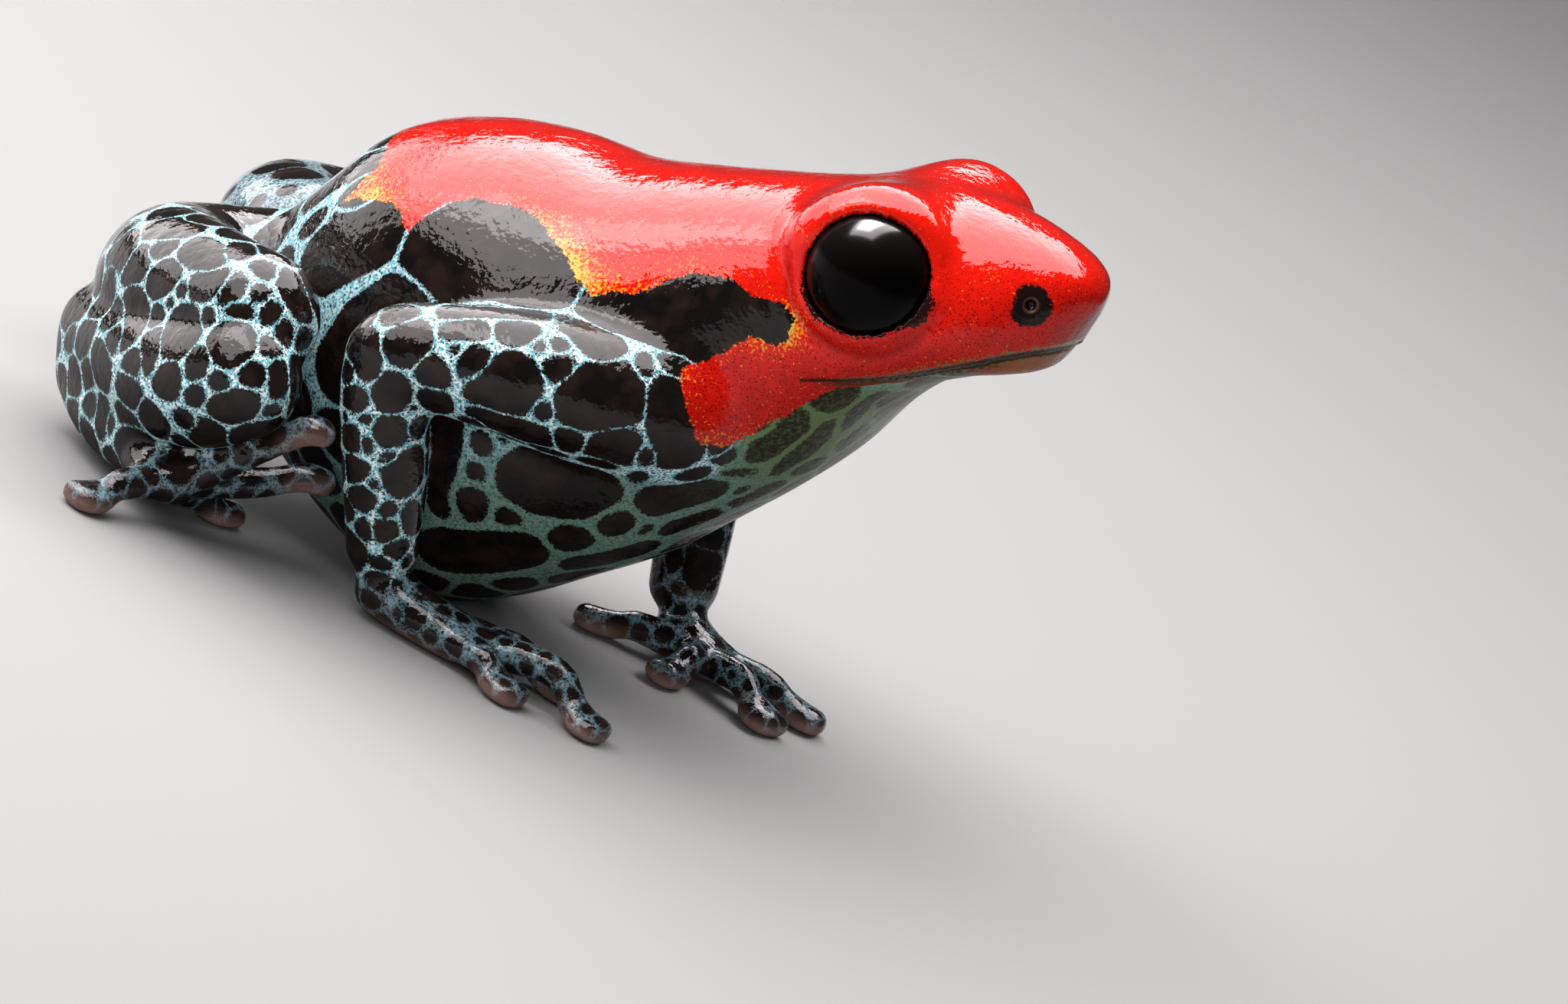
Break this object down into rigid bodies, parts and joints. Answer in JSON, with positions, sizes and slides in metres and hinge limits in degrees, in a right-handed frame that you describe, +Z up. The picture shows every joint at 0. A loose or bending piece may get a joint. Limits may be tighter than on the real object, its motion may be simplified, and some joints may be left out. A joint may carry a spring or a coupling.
{
  "type": "red-backed poison frog, sitting with its head raised",
  "caption": "Small red-backed poison frog in a raised sitting pose, scarlet head and back, black flanks and limbs with a fine turquoise network, glossy dark eyes",
  "frame": {"origin": "middle of the outer box at floor level", "axes": "+X toward the snout, +Y toward the frog's left, +Z up"},
  "size_m": [0.019, 0.0172, 0.0122],
  "materials": {
    "skin_back": "wet scarlet skin with black blotches on the flanks and throat",
    "skin_limbs": "wet black skin with a fine turquoise network",
    "eye": "polished, nearly black eye"
  },
  "bodies": {
    "root": {"torso": "skin_back", "head": "skin_back", "lower_jaw": "skin_back", "eye_left": "eye", "eye_right": "eye", "upper_arm_left": "skin_limbs", "upper_arm_right": "skin_limbs", "forearm_left": "skin_limbs", "forearm_right": "skin_limbs", "hand_left": "skin_limbs", "hand_right": "skin_limbs", "thigh_left": "skin_limbs", "thigh_right": "skin_limbs", "shank_left": "skin_limbs", "shank_right": "skin_limbs", "tarsus_left": "skin_limbs", "tarsus_right": "skin_limbs", "foot_left": "skin_limbs", "foot_right": "skin_limbs"}
  },
  "joints": []
}
